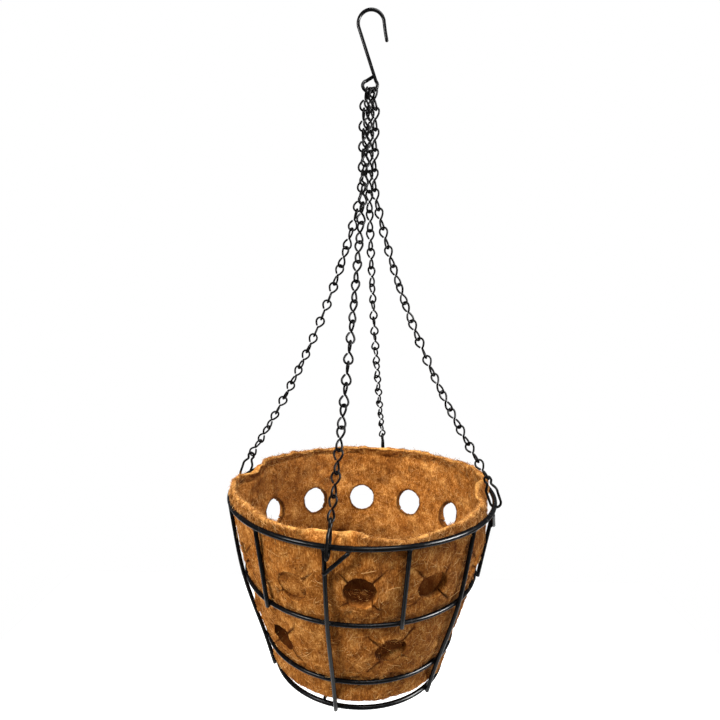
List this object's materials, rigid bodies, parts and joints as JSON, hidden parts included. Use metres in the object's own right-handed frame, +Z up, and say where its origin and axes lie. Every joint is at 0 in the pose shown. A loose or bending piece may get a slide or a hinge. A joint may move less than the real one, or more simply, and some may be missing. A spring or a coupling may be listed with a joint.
{
  "type": "hanging basket",
  "caption": "Tapered black wire hanging basket with a moulded coir liner pierced by round planting holes, hung from a wire hook by jack chains with clips on its rim.",
  "frame": {"origin": "inside top of the hook's bend, where it bears on its support, on the basket's vertical axis", "axes": "+Z up along the basket's axis, +X to the right and in the hook's plane, -Y to the front"},
  "size_m": [0.3556, 0.3626, 0.8444],
  "materials": {
    "black_coated_wire": "satin black plastic coat over steel wire",
    "black_chain_wire": "satin black coat over steel chain wire",
    "coir": "rough pressed coconut fibre"
  },
  "bodies": {
    "hook": {"hook": "black_coated_wire"},
    "suspension": {"chain_left_1": "black_chain_wire", "chain_left_2": "black_chain_wire", "chain_left_3": "black_chain_wire", "chain_left_4": "black_chain_wire", "chain_left_5": "black_chain_wire", "chain_left_6": "black_chain_wire", "chain_left_7": "black_chain_wire", "chain_front_1": "black_chain_wire", "chain_front_2": "black_chain_wire", "chain_front_3": "black_chain_wire", "chain_front_4": "black_chain_wire", "chain_front_5": "black_chain_wire", "chain_front_6": "black_chain_wire", "chain_front_7": "black_chain_wire", "chain_back_1": "black_chain_wire", "chain_back_2": "black_chain_wire", "chain_back_3": "black_chain_wire", "chain_back_4": "black_chain_wire", "chain_back_5": "black_chain_wire", "chain_back_6": "black_chain_wire", "chain_back_7": "black_chain_wire", "chain_right_1": "black_chain_wire", "chain_right_2": "black_chain_wire", "chain_right_3": "black_chain_wire", "chain_right_4": "black_chain_wire", "chain_right_5": "black_chain_wire", "chain_right_6": "black_chain_wire", "chain_right_7": "black_chain_wire", "clip_left": "black_chain_wire", "clip_front": "black_chain_wire", "clip_back": "black_chain_wire", "clip_right": "black_chain_wire"},
    "basket": {"rim": "black_coated_wire", "upper_hoop": "black_coated_wire", "lower_hoop": "black_coated_wire", "base_ring": "black_coated_wire", "upright_long_1": "black_coated_wire", "upright_long_2": "black_coated_wire", "upright_long_3": "black_coated_wire", "upright_long_4": "black_coated_wire", "upright_long_5": "black_coated_wire", "upright_long_6": "black_coated_wire", "upright_short_1": "black_coated_wire", "upright_short_2": "black_coated_wire", "upright_short_3": "black_coated_wire", "upright_short_4": "black_coated_wire", "upright_short_5": "black_coated_wire", "upright_short_6": "black_coated_wire", "brace_left": "black_coated_wire", "brace_front": "black_coated_wire", "brace_back": "black_coated_wire", "brace_right": "black_coated_wire", "base_cross_1": "black_coated_wire", "base_cross_2": "black_coated_wire", "liner": "coir"}
  },
  "joints": [
    {"name": "swing", "type": "hinge", "parent": "hook", "child": "suspension", "pos_m": [0, 0, -0.0939], "axis": [1, 0, 0], "range_deg": [-30, 30]},
    {"name": "lift_in_clips", "type": "slide", "parent": "suspension", "child": "basket", "axis": [0, 0, 1], "range_m": [0, 0.007]}
  ]
}
